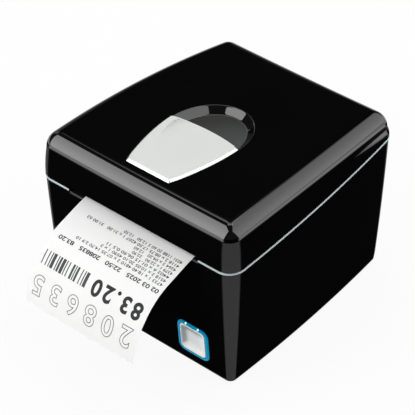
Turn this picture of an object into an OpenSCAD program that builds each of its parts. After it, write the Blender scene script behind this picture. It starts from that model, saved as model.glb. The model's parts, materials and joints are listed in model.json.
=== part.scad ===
// Desktop thermal receipt printer with a lift-up cover, a printed receipt in its exit
// slot, and its print, feed, cutter and latch mechanisms. Millimetres, +Z up, front at -Y.
// Heights are measured from the underside of the case, which its feet lift off the table.

/* [Case] */
// Width of the case halfway along its sides
case_w = 138.5; // [136:0.5:142]
// Depth of the case from front to back
case_d = 150; // [149:0.5:152]
// Height of the cover's top at the middle
case_h = 108.7; // [108:0.1:111]
// How much the sides narrow from the middle to the back
side_taper = 4.8; // [3:0.1:5]
// How much the sides bow out at the middle
side_bow = 2.7; // [1:0.1:3]
// Radius of the upright corners
corner_r = 9.9; // [8:0.1:12]
// Radius of the rounding round the cover's top
top_r = 9.8; // [7:0.1:10.5]
// How far the parting line lies below the cover's top at the front
cover_front_h = 28.2; // [27:0.1:29]
// How far the parting line lies below the cover's top at the back
cover_back_h = 19.2; // [18.8:0.1:19.6]
// How far the base draws in at its foot
base_draft = 5.1; // [4:0.1:6]
// Wall thickness of the mouldings
wall = 2.4; // [2:0.1:2.6]

/* [Paper] */
// Room for the mechanism on each side of the paper
side_room = 29.25; // [29:0.05:30]
// Middle of the paper, to the right of the middle of the case
paper_x = 4.2; // [4:0.1:4.4]
// Height of the full roll above the paper deck
roll_over = 10; // [8:0.1:10]
// Height of the full roll's underside
roll_under = 12; // [12:0.1:14]

/* [Opening lever] */
// Width of the lever at its back corners
lever_back_w = 49; // [46:0.5:52]
// Width of the lever at its front edge
lever_front_w = 31.6; // [30:0.2:34]
// Width of the finger well
well_w = 48; // [46:0.5:50]
// Length of the finger well
well_l = 61.4; // [59:0.2:62]
// Depth of the finger well
well_depth = 4.4; // [4:0.1:5]
// Depth of the thumb rest in the lever
dish_depth = 1.1; // [0.6:0.1:1.2]

/* [Feed button] */
// Outer width of the coloured frame
bezel_w = 23.4; // [22:0.1:25]
// Width of the button
button_w = 18.4; // [17:0.1:19]
// Distance from the button's middle to the widest part of the side
button_in = 29.05; // [28:0.05:31]

/* [Mechanism] */
// Radius of the rubber platen
platen_r = 5.8; // [5:0.1:5.8]
// Gear module
gear_m = 0.8; // [0.8:0.1:0.8]
// Height of the rubber feet under the case
foot_h = 1.5; // [1:0.1:3]

/* [Hidden] */
$fn = 48;

// ---- outline of the case ----
half_d = case_d / 2;
half_w = case_w / 2;
seam_front = case_h - cover_front_h;
seam_back = case_h - cover_back_h;
arc_steps = 6;
edge_steps = 9;
function side(y) = half_w - side_bow * (y / half_d) ^ 2 - side_taper * y / half_d;
function side_lean(y) = atan((2 * side_bow * y / half_d + side_taper) / half_d);
function mix(a, b, t) = a + (b - a) * t;

// Right half of the plan, drawn in by e, from the middle of the front to the back.
function half_outline(e) =
    let (r = max(corner_r - e, 2), yc = half_d - e - r,
        lean_f = side_lean(-yc), lean_b = side_lean(yc),
        xf = side(-yc) - e - r, xb = side(yc + r * sin(lean_b)) - e - r * cos(lean_b),
        y0 = -yc + r * sin(lean_f), y1 = yc + r * sin(lean_b))
    concat(
        [for (i = [0:edge_steps / 2]) [xf * i / (edge_steps / 2 + 0.5), -half_d + e]],
        [for (i = [0:arc_steps]) let (a = mix(-90, lean_f, i / arc_steps))
            [xf + r * cos(a), -yc + r * sin(a)]],
        [for (i = [1:edge_steps - 1]) let (y = mix(y0, y1, i / edge_steps))
            [side(y) - e, y]],
        [for (i = [0:arc_steps]) let (a = mix(lean_b, 90, i / arc_steps))
            [xb + r * cos(a), yc + r * sin(a)]],
        [for (i = [floor(edge_steps / 2):-1:0])
            [xb * i / (edge_steps / 2 + 0.5), half_d - e]]);
function outline(e) =
    let (h = half_outline(e), n = len(h))
    concat(h, [for (i = [n - 2:-1:1]) [-h[i].x, h[i].y]]);

seam_slope = (seam_back - seam_front) / case_d;
function seam(y) = seam_front + seam_slope * (y + half_d);
// Height of the cover's crowned top.
function top(x, y) = case_h + 0.63 * (x / half_w) ^ 2
    - 2.93 * (y / half_d) ^ 2 - 1.63 * y / half_d;

// ---- skins made of rings of points ----
function band(n, a, b) = [for (i = [0:n - 1]) let (j = (i + 1) % n)
    each [[a + i, b + j, a + j], [a + i, b + i, b + j]]];
// A tube whose section is the closed loop of rings.
module ring_tube(rings) {
    n = len(rings[0]);
    k = len(rings);
    polyhedron([for (r = rings) each r],
        [for (i = [0:k - 1]) each band(n, i * n, ((i + 1) % k) * n)]);
}
// A solid between two middle points, with the rings lying one after the other.
module ring_solid(first, rings, last) {
    n = len(rings[0]);
    k = len(rings);
    polyhedron(concat([for (r = rings) each r], [first, last]),
        concat([for (i = [0:k - 2]) each band(n, (i + 1) * n, i * n)],
            [for (i = [0:n - 1]) [n * k, (i + 1) % n, i]],
            [for (i = [0:n - 1]) [n * k + 1, (k - 1) * n + i, (k - 1) * n + (i + 1) % n]]));
}

// A ring of the base at share t of the height of the seam, drawn in by e.
seam_gap = 0.6;
function base_inset(t) = let (u = 1 - t) base_draft * (0.64 * u + 0.36 * u ^ 2) + 0.3;
function base_ring(z, t, e) = [for (p = outline(base_inset(t) + e))
    [p.x, p.y, z + t * (seam(p.y) - seam_gap)]];

// ---- flat shapes ----
module rounded_square(w, r) {
    square([w, w - 2 * r], center = true);
    square([w - 2 * r, w], center = true);
    for (x = [-1, 1], y = [-1, 1]) translate([x, y] * (w / 2 - r)) circle(r = r);
}
function strip_normal(p, i) = let (a = p[max(i - 1, 0)], b = p[min(i + 1, len(p) - 1)],
    d = (b - a) / norm(b - a)) [-d.y, d.x];
// Outline of a sheet of thickness t whose middle follows the points p.
function strip(p, t) = concat(
    [for (i = [0:len(p) - 1]) p[i] + strip_normal(p, i) * t / 2],
    [for (i = [len(p) - 1:-1:0]) p[i] - strip_normal(p, i) * t / 2]);
// Extrudes an outline given as [y, z] along x, from x0 to x1.
module along_x(x0, x1) translate([x0, 0, 0]) rotate([90, 0, 90])
    linear_extrude(x1 - x0) children();
// Rods along x and along y, and a box between two corners.
module rod_x(x0, x1, y, z, r) translate([x0, y, z]) rotate([0, 90, 0])
    cylinder(r = r, h = x1 - x0);
module rod_y(y0, y1, x, z, r) translate([x, y0, z]) rotate([-90, 0, 0])
    cylinder(r = r, h = y1 - y0);
module block(a, b) translate(a) cube(b - a);

// ---- involute spur gear, lying on z = 0, a tooth at +x ----
pressure = 20;
tooth_play = 0.06;
function pitch_r(z) = gear_m * z / 2;
function involute(a) = tan(a) * 180 / PI - a;
function half_tooth(z, r) = let (rp = pitch_r(z), rb = rp * cos(pressure))
    90 / z - tooth_play / rp * 180 / PI + involute(pressure) - involute(acos(min(1, rb / r)));
function gear_outline(z) =
    let (rp = pitch_r(z), rb = rp * cos(pressure), root = rp - 1.1 * gear_m,
        rs = [root, max(root + 0.1, rb), rp, rp + 0.75 * gear_m])
    [for (k = [0:z - 1]) each concat(
        [for (r = rs) let (a = 360 * k / z - half_tooth(z, r)) r * [cos(a), sin(a)]],
        [for (i = [3:-1:0]) let (r = rs[i], a = 360 * k / z + half_tooth(z, r))
            r * [cos(a), sin(a)]])];
module gear(z, h, bore) difference() {
    linear_extrude(h) polygon(gear_outline(z));
    translate([0, 0, -1]) cylinder(r = bore, h = h + 2);
}
// A round coil spring along x, swept as one skin.
module coil(r, wire, length, turns) {
    steps = 14 * turns;
    sides = 6;
    points = [for (i = [0:steps]) let (a = 360 * turns * i / steps)
        for (j = [0:sides - 1]) let (b = 360 * j / sides, q = r + wire * cos(b))
            [length * i / steps + wire * sin(b), q * cos(a), q * sin(a)]];
    polyhedron(points, concat(
        [for (i = [0:steps - 1]) each band(sides, (i + 1) * sides, i * sides)],
        [[for (j = [sides - 1:-1:0]) j], [for (j = [0:sides - 1]) steps * sides + j]]));
}

// ---- places shared by the pieces ----
plate_t = 2.5;
deck_z = seam_front - 2.5;
paper_w = case_w - 2 * side_room;
paper_l = paper_x - paper_w / 2;
paper_rt = paper_x + paper_w / 2;
// Places measured from the paper's edges, the front, the back, the deck and the top.
function lx(d) = paper_l - d;
function rx(d) = paper_rt + d;
function fy(d) = d - half_d;
function by(d) = half_d - d;
function dz(h) = deck_z + h;
function tz(h) = case_h - h;
platen_y = fy(29);
platen_z = dz(12);
platen_teeth = 20;
idler_teeth = 40;
pinion_teeth = 12;
idler_z = platen_z - pitch_r(platen_teeth) - pitch_r(idler_teeth);
motor_z = idler_z - pitch_r(idler_teeth) - pitch_r(pinion_teeth);
gear_x = lx(13.2);
gear_t = 4;
shaft_r = 2.5;
bush_r = 4.5;
run_gap = 0.05;
roll_r = (dz(roll_over) - roll_under) / 2;
roll_y = by(51);
roll_z = roll_under + roll_r;
core_r = 10;
cradle_r = roll_r + 0.4;
sheet_t = 0.2;
slot_half = rx(3.4);
cut_y = fy(15);
bridge_w = 4;
blade_y0 = cut_y - 1.1;
blade_y1 = cut_y - 0.3;
web_end = blade_y1 + 0.3;
receipt_start = blade_y0 - 0.2;
hinge_y = half_d + 3.8;
hinge_z = seam_back;
knuckle_r = 3.5;
hinge_pin_r = 1.5;
knuckle_x = 40.5 + (paper_w - 80) / 2;
knuckle_w = 5.5;
base_knuckle = [knuckle_x, knuckle_x + knuckle_w];
cover_knuckle = [knuckle_x - 0.3 - knuckle_w, knuckle_x - 0.3];
lever_y = fy(15);
lever_z = tz(5.2);
lever_pin_r = 1;
latch_y = fy(18);
latch_z = tz(12.7);
latch_shaft_r = 1.5;
hook_x = [rx(8.3), rx(11.3)];
keeper_y = latch_y + 3.5;
keeper_z = latch_z - 10;
keeper_r = 2;
left_cheek = [lx(7.7), lx(5.7)];
right_cheek = [rx(5.8), rx(7.8)];
left_arm = [lx(5.2), lx(2.2)];
right_arm = [rx(2.3), rx(5.3)];
head_axis = [fy(35), dz(-14)];
head_pivot_r = 1.5;
cut_gear = [paper_x + 7.8, dz(-18)];
blade_teeth = 12;
button_x = half_w - button_in;
button_z = 19.2;
face_tilt = 4.3;
board_z = 4.5;
board_t = 1.6;
board_top = board_z + board_t;
port_y = by(4);
usb_w = 12;
serial_w = 30.8;
drawer_w = 14.4;
power_w = 13;
// The four sockets stand between the cheeks with even gaps.
port_gap = (right_cheek[0] - left_cheek[1] - usb_w - serial_w - drawer_w - power_w) / 5;
usb_x = left_cheek[1] + port_gap + usb_w / 2;
serial_x = usb_x + usb_w / 2 + port_gap + serial_w / 2;
drawer_x = serial_x + serial_w / 2 + port_gap + drawer_w / 2;
power_x = drawer_x + drawer_w / 2 + port_gap + power_w / 2;
foot_places = [for (s = [-1, 1]) each [[s * (half_w - 21.25), fy(17)],
    [s * (half_w - 23.25), by(17)]]];
boss_places = [for (x = [left_cheek[0] - 2.5, right_cheek[1] + 1.5]) each [[x, fy(35)],
    [x, by(33)]]];
post_places = [for (s = [-1, 1], y = [-20, 40]) [s * (side(y) - top_r - 3.4), y]];
seat_y = base_inset(button_z / seam_front) - half_d;
rear_y = half_d - base_inset(10 / seam_back);

// ---- case ----
module base_shell() color([0.02, 0.02, 0.02]) difference() {
    foot_r = 2.6;
    ring_tube(concat(
        [for (a = [0:30:90]) base_ring(foot_r * (1 - cos(a)), 0, foot_r * (1 - sin(a)))],
        [for (t = [0.15:0.17:1]) base_ring(0, t, 0)],
        [for (t = [1:-0.25:0.25]) base_ring(0, t, wall)],
        [base_ring(0, 0, wall + 0.1)]));
    // exit slot
    block([-slot_half, -half_d - 2, seam_front - 2.1], [slot_half, -half_d + 5, seam_front + 2]);
    // button
    in_face() {
        sunk(-2, 8, bezel_w - 1.4, 4);
        sunk(-2, 0.5, bezel_w + 0.3, 5.1);
    }
    // hinge arms
    for (s = [-1, 1]) block(
        [s > 0 ? base_knuckle[0] - 0.3 : -base_knuckle[1] - 0.3, half_d - 6, hinge_z - 5.3],
        [s > 0 ? base_knuckle[1] + 0.3 : -base_knuckle[0] + 0.3, half_d + 2, hinge_z + 3]);
    // sockets
    for (p = [[usb_x, usb_w, 12], [serial_x, serial_w, 13.2], [drawer_x, drawer_w, 14],
            [power_x, power_w, 12.6]])
        block([p[0] - p[1] / 2 - 0.3, rear_y - 6, board_top - 0.4],
            [p[0] + p[1] / 2 + 0.3, half_d + 2, board_top + p[2] + 0.4]);
}
module bottom_plate() color([0.08, 0.08, 0.09]) difference() {
    linear_extrude(plate_t) polygon(outline(base_inset(0) + wall + 0.3));
    for (p = boss_places) translate([p.x, p.y, -1]) {
        cylinder(r = 1.6, h = 5);
        cylinder(r = 3, h = 2.4);
    }
    for (x = [-20:8:36]) block([x, -30, -1], [x + 3, -8, plate_t + 1]);
}
module rubber_feet() color([0.12, 0.12, 0.12]) for (p = foot_places)
    translate([p.x, p.y, -foot_h]) cylinder(r1 = 6, r2 = 6.5, h = foot_h);
module base_screws() color([0.6, 0.6, 0.62]) for (p = boss_places)
    translate([p.x, p.y, 0]) difference() {
        union() {
            translate([0, 0, 0.2]) cylinder(r = 2.8, h = 1.2);
            translate([0, 0, 1.4]) cylinder(r = 1.2, h = 9);
        }
        block([-0.3, -2, -0.1], [0.3, 2, 0.6]);
        block([-2, -0.3, -0.1], [2, 0.3, 0.6]);
    }
module seam_trim() color([0.69, 0.75, 0.77]) difference() {
    ring_tube([for (q = [[0, -seam_gap], [-0.15, -0.1], [0, 0.4], [wall, 0.4],
            [wall, -seam_gap]])
        [for (p = outline(q[0] + 0.1)) [p.x, p.y, seam(p.y) + q[1]]]]);
    block([-slot_half, -half_d - 2, seam_front - 3], [slot_half, -half_d + 5, seam_front + 3]);
    for (s = [-1, 1]) block(
        [s > 0 ? cover_knuckle[0] - 0.3 : -base_knuckle[1] - 0.3, half_d - 6, hinge_z - 5],
        [s > 0 ? base_knuckle[1] + 0.3 : -cover_knuckle[0] + 0.3, half_d + 2, hinge_z + 5]);
}
// Serrated edge on the lower lip of the exit slot.
module tear_bar() color([0.2, 0.2, 0.21]) {
    pitch = 1.6;
    n = floor(2 * (slot_half - 0.3) / pitch);
    lip_z = seam_front - 2.1;
    teeth = [for (i = [0:n - 1]) each [[i * pitch, 0.9], [(i + 0.5) * pitch, 2.0]]];
    translate([-n * pitch / 2, -half_d + 1.2, lip_z]) rotate([90, 0, 0]) linear_extrude(0.8)
        polygon(concat([[0, 0]], teeth, [[n * pitch, 0.9], [n * pitch, 0]]));
    block([-n * pitch / 2, -half_d + 1.2, lip_z], [n * pitch / 2, -half_d + 7, lip_z + 0.6]);
}
// ---- feed button, in the frame of the leaning front face: y points into the case ----
module in_face() translate([button_x, seat_y, button_z]) rotate([face_tilt, 0, 0])
    children();
module sunk(y0, y1, w, r) translate([0, y0, 0]) rotate([-90, 0, 0])
    linear_extrude(y1 - y0) rounded_square(w, r);
module button_bezel() color([0.0, 0.59, 0.79]) in_face() difference() {
    union() {
        sunk(-0.45, 0.4, bezel_w, 5);
        sunk(-0.9, 0, bezel_w - 2.6, 4);
        sunk(0, 6.6, bezel_w - 1.8, 3.8);
    }
    sunk(-2, 8, button_w + 0.2, 3);
    sunk(2.9, 8, button_w + 1.8, 3);
}
module feed_button() color([0.85, 0.86, 0.86]) in_face() difference() {
    dish = 0.9;
    dish_r = (button_w ^ 2 / 4 + dish ^ 2) / (2 * dish);
    union() {
        sunk(-0.9, 3.2, button_w, 2.9);
        sunk(3.2, 4.2, button_w + 1.4, 2.9);
        rod_y(4.2, 4.9, 0, 0, 2);
    }
    translate([0, -0.9 + dish - dish_r, 0]) sphere(r = dish_r, $fn = 96);
}
module button_board() color([0.05, 0.25, 0.12]) in_face() {
    translate([0, 6.6, 0]) rotate([-90, 0, 0]) linear_extrude(1.6)
        square([26, 24], center = true);
    block([-3, 6.3, -3], [3, 6.6, 3]);
    rod_y(5.9, 6.6, 0, 0, 1.7);
}

// ---- base mechanism ----
module cheek(x) difference() {
    along_x(x[0], x[1]) polygon([[fy(16.8), plate_t], [by(9), plate_t], [by(9), hinge_z - 1.5],
        [by(16), hinge_z - 1.5], [by(23), dz(-4)], [roll_y - 16, dz(-4)], [fy(63), dz(0)],
        [fy(39), dz(0)], [fy(39), dz(2)], [fy(16.8), dz(2)]]);
    rod_x(x[0] - 1, x[1] + 1, head_axis[0], head_axis[1], head_pivot_r + 0.02);
    // the paper roll's cheek is open above the roll's core
    rod_x(x[0] - 1, x[1] + 1, roll_y, roll_z + 4, 16);
    rod_x(x[0] - 1, x[1] + 1, fy(55), 30, 12);
}
module chassis() color([0.16, 0.16, 0.17]) difference() {
    union() {
        cheek(left_cheek);
        cheek(right_cheek);
        // cradle under the roll
        along_x(left_cheek[1], right_cheek[0]) difference() {
            translate([roll_y, roll_z]) circle(r = cradle_r + 1.8, $fn = 96);
            translate([roll_y, roll_z]) circle(r = cradle_r, $fn = 96);
            translate([roll_y - 2 * roll_r, roll_z - 14]) square([4 * roll_r, 2 * roll_r]);
        }
        // paper guide shelf and the wall behind the head
        block([left_cheek[1], fy(41), dz(-2)], [right_cheek[0], roll_y - roll_r, deck_z]);
        block([left_cheek[1], fy(41), dz(-22)], [right_cheek[0], fy(43), deck_z]);
        block([left_cheek[1], fy(45), plate_t], [right_cheek[0], fy(47), 30]);
        // bosses for the base screws
        for (p = boss_places) translate([p.x, p.y, plate_t]) cylinder(r = 3.5, h = 12);
        // hinge arms and knuckles
        for (s = [-1, 1]) {
            x0 = s > 0 ? base_knuckle[0] : -base_knuckle[1];
            x1 = s > 0 ? base_knuckle[1] : -base_knuckle[0];
            block([x0, by(13), hinge_z - 5], [x1, hinge_y, hinge_z - 1.6]);
            rod_x(x0, x1, hinge_y, hinge_z, knuckle_r);
        }
        block([base_knuckle[0], by(13), hinge_z - 5], [right_cheek[1], by(9), hinge_z - 1.6]);
    }
    for (p = boss_places) translate([p.x, p.y, plate_t - 1]) cylinder(r = 1.25, h = 10);
    for (s = [-1, 1]) translate([s * (knuckle_x + knuckle_w / 2), 0, 0])
        rod_x(-4, 4, hinge_y, hinge_z, hinge_pin_r);
    // motor shaft and idler stud in the left cheek
    rod_x(left_cheek[0] - 1, left_cheek[1] + 1, platen_y, motor_z, 4.2);
    rod_x(left_cheek[0] - 1, left_cheek[1] + 1, platen_y, idler_z, 2);
}
module main_board() color([0.05, 0.3, 0.15]) {
    difference() {
        block([lx(2.2), by(80), board_z], [rx(3.8), by(9), board_top]);
        for (x = [lx(-1.8), rx(-0.2)], y = [by(75), by(14)]) translate([x, y, board_z - 1])
            cylinder(r = 1.6, h = 4);
    }
    for (x = [lx(-1.8), rx(-0.2)], y = [by(75), by(14)]) translate([x, y, plate_t])
        difference() {
            cylinder(r = 3, h = board_z - plate_t);
            translate([0, 0, -1]) cylinder(r = 1.2, h = 5);
        }
    block([-28, by(77), board_top], [-8, by(71), board_top + 4]);
    block([10, by(77), board_top], [24, by(72), board_top + 6]);
}
// A connector body on the main board with a hole sunk in its rear face.
module port(x, w, h, depth) block([x - w / 2, port_y - depth, board_top],
    [x + w / 2, port_y, board_top + h]);
module usb_port() color([0.7, 0.7, 0.72]) {
    difference() {
        port(usb_x, usb_w, 11, 16);
        block([usb_x - 4.3, port_y - 9, board_top + 1.6], [usb_x + 4.3, port_y + 1, board_top + 9.4]);
    }
    block([usb_x - 2.8, port_y - 10, board_top + 3.9], [usb_x + 2.8, port_y - 1, board_top + 7.1]);
}
jack_r = 1.42;
jack_pitch = 25;
module serial_port() color([0.66, 0.67, 0.7]) difference() {
    union() {
        port(serial_x, serial_w, 12.6, 2);
        port(serial_x, 19, 12, 12);
        along_d(port_y, port_y + 1.2, 8.4, 4.1);
        for (s = [-1, 1]) translate([serial_x + s * jack_pitch / 2, port_y - 2, board_top + 6.3])
            rotate([-90, 0, 0]) cylinder(r = 2.9, h = 4.4, $fn = 6);
    }
    along_d(port_y - 5, port_y + 2, 7.6, 3.4);
    for (s = [-1, 1]) rod_y(port_y - 3, port_y + 3, serial_x + s * jack_pitch / 2,
        board_top + 6.3, jack_r);
}
// The D shape of the serial socket: half-width a at its long side, half-height b.
module along_d(y0, y1, a, b) translate([serial_x, y0, board_top + 6.3])
    rotate([-90, 0, 0]) linear_extrude(y1 - y0)
        polygon([[-a, -b], [a, -b], [a - 1.4, b], [1.4 - a, b]]);
module drawer_port() color([0.1, 0.1, 0.1]) difference() {
    port(drawer_x, drawer_w, 13.4, 15);
    block([drawer_x - 5, port_y - 11, board_top + 3.4], [drawer_x + 5, port_y + 1, board_top + 10.4]);
    block([drawer_x - 2, port_y - 11, board_top + 2], [drawer_x + 2, port_y + 1, board_top + 4]);
}
module power_inlet() color([0.08, 0.08, 0.08]) {
    difference() {
        port(power_x, power_w, 12, 14);
        rod_y(port_y - 9, port_y + 1, power_x, board_top + 6, 3.3);
    }
    rod_y(port_y - 10, port_y - 1, power_x, board_top + 6, 1);
}
head_x = [paper_l + 1.8, paper_rt - 1.8];
module print_head() color([0.85, 0.82, 0.7]) {
    block([head_x[0], fy(24), dz(1.4)], [head_x[1], fy(37), dz(5.1)]);
    rod_x(head_x[0] + 2, head_x[1] - 2, platen_y, dz(4.2), 1.2);
}
module head_heatsink() color([0.7, 0.7, 0.72]) difference() {
    union() {
        block([head_x[0], fy(32), dz(-18)], [head_x[1], fy(37), dz(1.4)]);
        for (z = [dz(-11):3:dz(-2)])
            block([head_x[0] + 6, fy(29.5), z], [head_x[1] - 6, fy(32), z + 1.2]);
    }
    rod_x(head_x[0] - 1, head_x[1] + 1, head_axis[0], head_axis[1], head_pivot_r + run_gap);
}
module head_pivot() color([0.75, 0.75, 0.77])
    rod_x(left_cheek[0] - 0.6, right_cheek[1] + 0.6, head_axis[0], head_axis[1], head_pivot_r);
module head_springs() color([0.7, 0.7, 0.72]) for (s = [-1, 1])
    translate([paper_x + 22.5 * s, fy(37.4), dz(-5)]) rotate([0, 0, 90]) coil(2.4, 0.35, 3.2, 3);
module feed_motor() color([0.55, 0.55, 0.57]) difference() {
    union() {
        rod_x(left_cheek[1], lx(-11.8), platen_y, motor_z, 12);
        rod_x(left_cheek[0] + 0.2, left_cheek[1], platen_y, motor_z, 4);
        block([left_cheek[1], platen_y - 4, motor_z - 17],
            [left_cheek[1] + 1.2, platen_y + 4, motor_z + 13]);
    }
    rod_x(left_cheek[0] - 1, lx(-9.8), platen_y, motor_z, 1.6 + run_gap);
}
module motor_pinion() color([0.85, 0.75, 0.5]) {
    translate([gear_x, platen_y, motor_z]) rotate([0, 90, 0]) gear(pinion_teeth, gear_t, 1.5);
    rod_x(gear_x - 0.5, lx(-8.8), platen_y, motor_z, 1.6);
}
module idler_gear() color([0.9, 0.9, 0.88])
    translate([gear_x, platen_y, idler_z]) rotate([0, 90, 0]) {
        rotate([0, 0, 180 / idler_teeth]) difference() {
            gear(idler_teeth, gear_t, 2 + run_gap);
            translate([0, 0, gear_t - 1.4]) difference() {
                cylinder(r = 13, h = 3);
                translate([0, 0, -1]) cylinder(r = 5, h = 5);
            }
        }
    }
module idler_stud() color([0.75, 0.75, 0.77]) {
    rod_x(gear_x - 1.2, left_cheek[1], platen_y, idler_z, 2);
    rod_x(gear_x - 1.8, gear_x - 0.3, platen_y, idler_z, 3.4);
    rod_x(gear_x + gear_t + 0.3, left_cheek[0], platen_y, idler_z, 3.4);
}

// ---- platen, carried by the cover ----
module platen_shaft() color([0.8, 0.8, 0.82])
    rod_x(gear_x - 1, right_arm[1] + 1.5, platen_y, platen_z, shaft_r);
module platen_rubber() color([0.12, 0.12, 0.13]) difference() {
    rod_x(paper_l - 0.6, paper_rt + 0.6, platen_y, platen_z, platen_r);
    rod_x(paper_l - 2, paper_rt + 2, platen_y, platen_z, shaft_r);
}
module platen_gear() color([0.9, 0.9, 0.88])
    translate([gear_x, platen_y, platen_z]) rotate([0, 90, 0]) gear(platen_teeth, gear_t, shaft_r);
module platen_bushings() color([0.7, 0.6, 0.35]) difference() {
    union() {
        rod_x(left_arm[0] - 0.3, left_arm[1], platen_y, platen_z, bush_r);
        rod_x(left_arm[1], left_arm[1] + 0.8, platen_y, platen_z, bush_r + 1);
        rod_x(right_arm[0], right_arm[1] + 0.4, platen_y, platen_z, bush_r);
        rod_x(right_arm[0] - 0.8, right_arm[0], platen_y, platen_z, bush_r + 1);
    }
    rod_x(left_arm[0] - 5, right_arm[1] + 5, platen_y, platen_z, shaft_r + run_gap);
}

// ---- cutter ----
module cutter_frame() color([0.6, 0.61, 0.63]) difference() {
    union() {
        block([left_cheek[1], cut_y, dz(-34)], [right_cheek[0], cut_y + 1.8, deck_z]);
        block([left_cheek[0], cut_y - 3.5, dz(-28)], [lx(0.2), cut_y + 1.8, deck_z]);
        block([rx(0.2), cut_y - 3.5, dz(-28)], [right_cheek[1], cut_y + 1.8, deck_z]);
    }
    // channel of the blade, with 0.2 beside it
    block([lx(2.2), blade_y0 - 0.2, dz(-38)], [rx(2.3), blade_y1 + 0.2, dz(12)]);
    rod_y(cut_y - 4, cut_y + 4, cut_gear[0], cut_gear[1], 6.5);
}
module cutter_blade() color([0.78, 0.79, 0.8]) {
    bridge = bridge_w / 2 + 1;
    translate([0, blade_y1, 0]) rotate([90, 0, 0]) linear_extrude(blade_y1 - blade_y0)
        polygon([[lx(2), dz(-10)], [lx(2), dz(3.5)], [paper_x - bridge, dz(0.5)],
            [paper_x - bridge, dz(-4)], [paper_x + bridge, dz(-4)], [paper_x + bridge, dz(0.5)],
            [rx(2.1), dz(3.5)], [rx(2.1), dz(-10)]]);
    rack_x = cut_gear[0] - pitch_r(blade_teeth);
    pitch = PI * gear_m;
    low = cut_gear[1] - 4.5 * pitch;
    flank = 0.75 * gear_m * tan(pressure);
    translate([0, blade_y1, 0]) rotate([90, 0, 0]) linear_extrude(blade_y1 - blade_y0)
        polygon(concat([[rack_x - 8, low - 1], [rack_x - 1, low - 1]],
            [for (i = [0:5]) let (z = low + (i + 0.5) * pitch - pitch / 2)
                each [[rack_x - 0.88, z - pitch / 4 - flank + 0.06],
                    [rack_x + 0.6, z - pitch / 4 + flank + 0.06],
                    [rack_x + 0.6, z + pitch / 4 - flank - 0.06],
                    [rack_x - 0.88, z + pitch / 4 + flank - 0.06]]],
            [[rack_x - 1, dz(-9.5)], [rack_x - 8, dz(-9.5)]]));
}
module cutter_motor() color([0.5, 0.5, 0.52]) difference() {
    union() {
        rod_y(cut_y + 2.1, cut_y + 13.5, cut_gear[0], cut_gear[1] - 6, 8);
        block([cut_gear[0] - 11, cut_y + 1.8, cut_gear[1] - 17],
            [cut_gear[0] + 11, cut_y + 3, cut_gear[1] + 4]);
    }
    rod_y(cut_y, cut_y + 10, cut_gear[0], cut_gear[1], 1.2 + run_gap);
}
module cutter_pinion() color([0.85, 0.75, 0.5])
    translate([cut_gear[0], cut_y + 0.1, cut_gear[1]]) rotate([90, 0, 0]) {
        gear(blade_teeth, 2, 1.2);
        translate([0, 0, -8.5]) cylinder(r = 1.2, h = 10.5);
    }
module fixed_blade() color([0.8, 0.81, 0.82])
    block([left_arm[1] + 0.1, cut_y - 2.3, dz(6.2)],
        [right_arm[0] - 0.1, cut_y - 1.25, dz(15)]);

// ---- cover ----
well_y = fy(58);
// Place on the finger well's edge that faces a point of the outline, grown by g.
function well_point(p, g) = let (a = well_w / 2 + g, b = well_l / 2 + g,
    t = atan2((p.y - well_y) / b, p.x / a)) [a * cos(t), well_y + b * sin(t)];
function lid_inset(v) = 1.4 * v ^ 2;
cover_gap = 0.7;
// A ring of the cover's side, at share v of the way from the seam to its top rounding.
function lid_side(v, e) = [for (p = outline(lid_inset(v) + e)) let (z0 = seam(p.y) + cover_gap,
    z1 = top(p.x, p.y) - top_r) [p.x, p.y, mix(z0, z1, v)]];
function lid_round(a, r, e, drop) = [for (p = outline(lid_inset(1) + e + r * (1 - cos(a))))
    [p.x, p.y, top(p.x, p.y) - drop - r * (1 - sin(a))]];
function lid_top(t, e, g, drop) = let (o = outline(lid_inset(1) + e)) [for (p = o)
    let (w = well_point(p, g), q = mix(p, w, t)) [q.x, q.y, top(q.x, q.y) - drop]];
function well_ring(g, drop) = [for (p = outline(lid_inset(1) + top_r))
    let (w = well_point(p, -g)) [w.x, w.y, top(w.x, w.y) - drop]];
skin_t = 2.2;
// Inset from the rim and depth below the top, down the well's sloping wall to its floor.
well_outer = [[0.35, 0.15], [3.8, well_depth * 0.83], [4.6, well_depth * 0.92],
    [9, well_depth * 0.98], [14, well_depth]];
well_inner = [[14, well_depth + skin_t], [3.5, well_depth + skin_t - 0.1],
    [1.5, well_depth + skin_t - 0.8], [-1.4, skin_t + 0.3]];
module cover_shell() color([0.02, 0.02, 0.02]) difference() {
    inner_r = top_r - skin_t;
    ring_solid([0, well_y, top(0, well_y) - well_depth],
        concat([for (i = [len(well_outer) - 1:-1:0]) well_ring(well_outer[i][0], well_outer[i][1])],
            [for (t = [1:-0.25:0.25]) lid_top(t, top_r, 0, 0)],
            [for (a = [90:-18:0]) lid_round(a, top_r, 0, 0)],
            [for (v = [0.66, 0.33, 0]) lid_side(v, 0)],
            [for (v = [0, 0.5, 1]) lid_side(v, skin_t)],
            [for (a = [30:30:90]) lid_round(a, inner_r, skin_t, skin_t)],
            [for (t = [0.33, 0.66, 1]) lid_top(t, top_r, skin_t, skin_t)],
            [for (w = [len(well_inner) - 1:-1:0]) well_ring(well_inner[w][0], well_inner[w][1])]),
        [0, well_y, top(0, well_y) - well_depth - skin_t]);
    block([-slot_half, -half_d - 2, seam_front - 3], [slot_half, -half_d + 5, seam_front + 2.4]);
    for (s = [-1, 1]) block(
        [s > 0 ? cover_knuckle[0] - 0.3 : -cover_knuckle[1] - 0.3, half_d - 6, hinge_z - 3],
        [s > 0 ? cover_knuckle[1] + 0.3 : -cover_knuckle[0] + 0.3, half_d + 2, hinge_z + 5.4]);
    // window of the lever's neck, hidden under the lever
    block([-13.5, lever_y - 1.7, tz(9)], [13.5, lever_y + 4.5, case_h + 3]);
}
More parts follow.
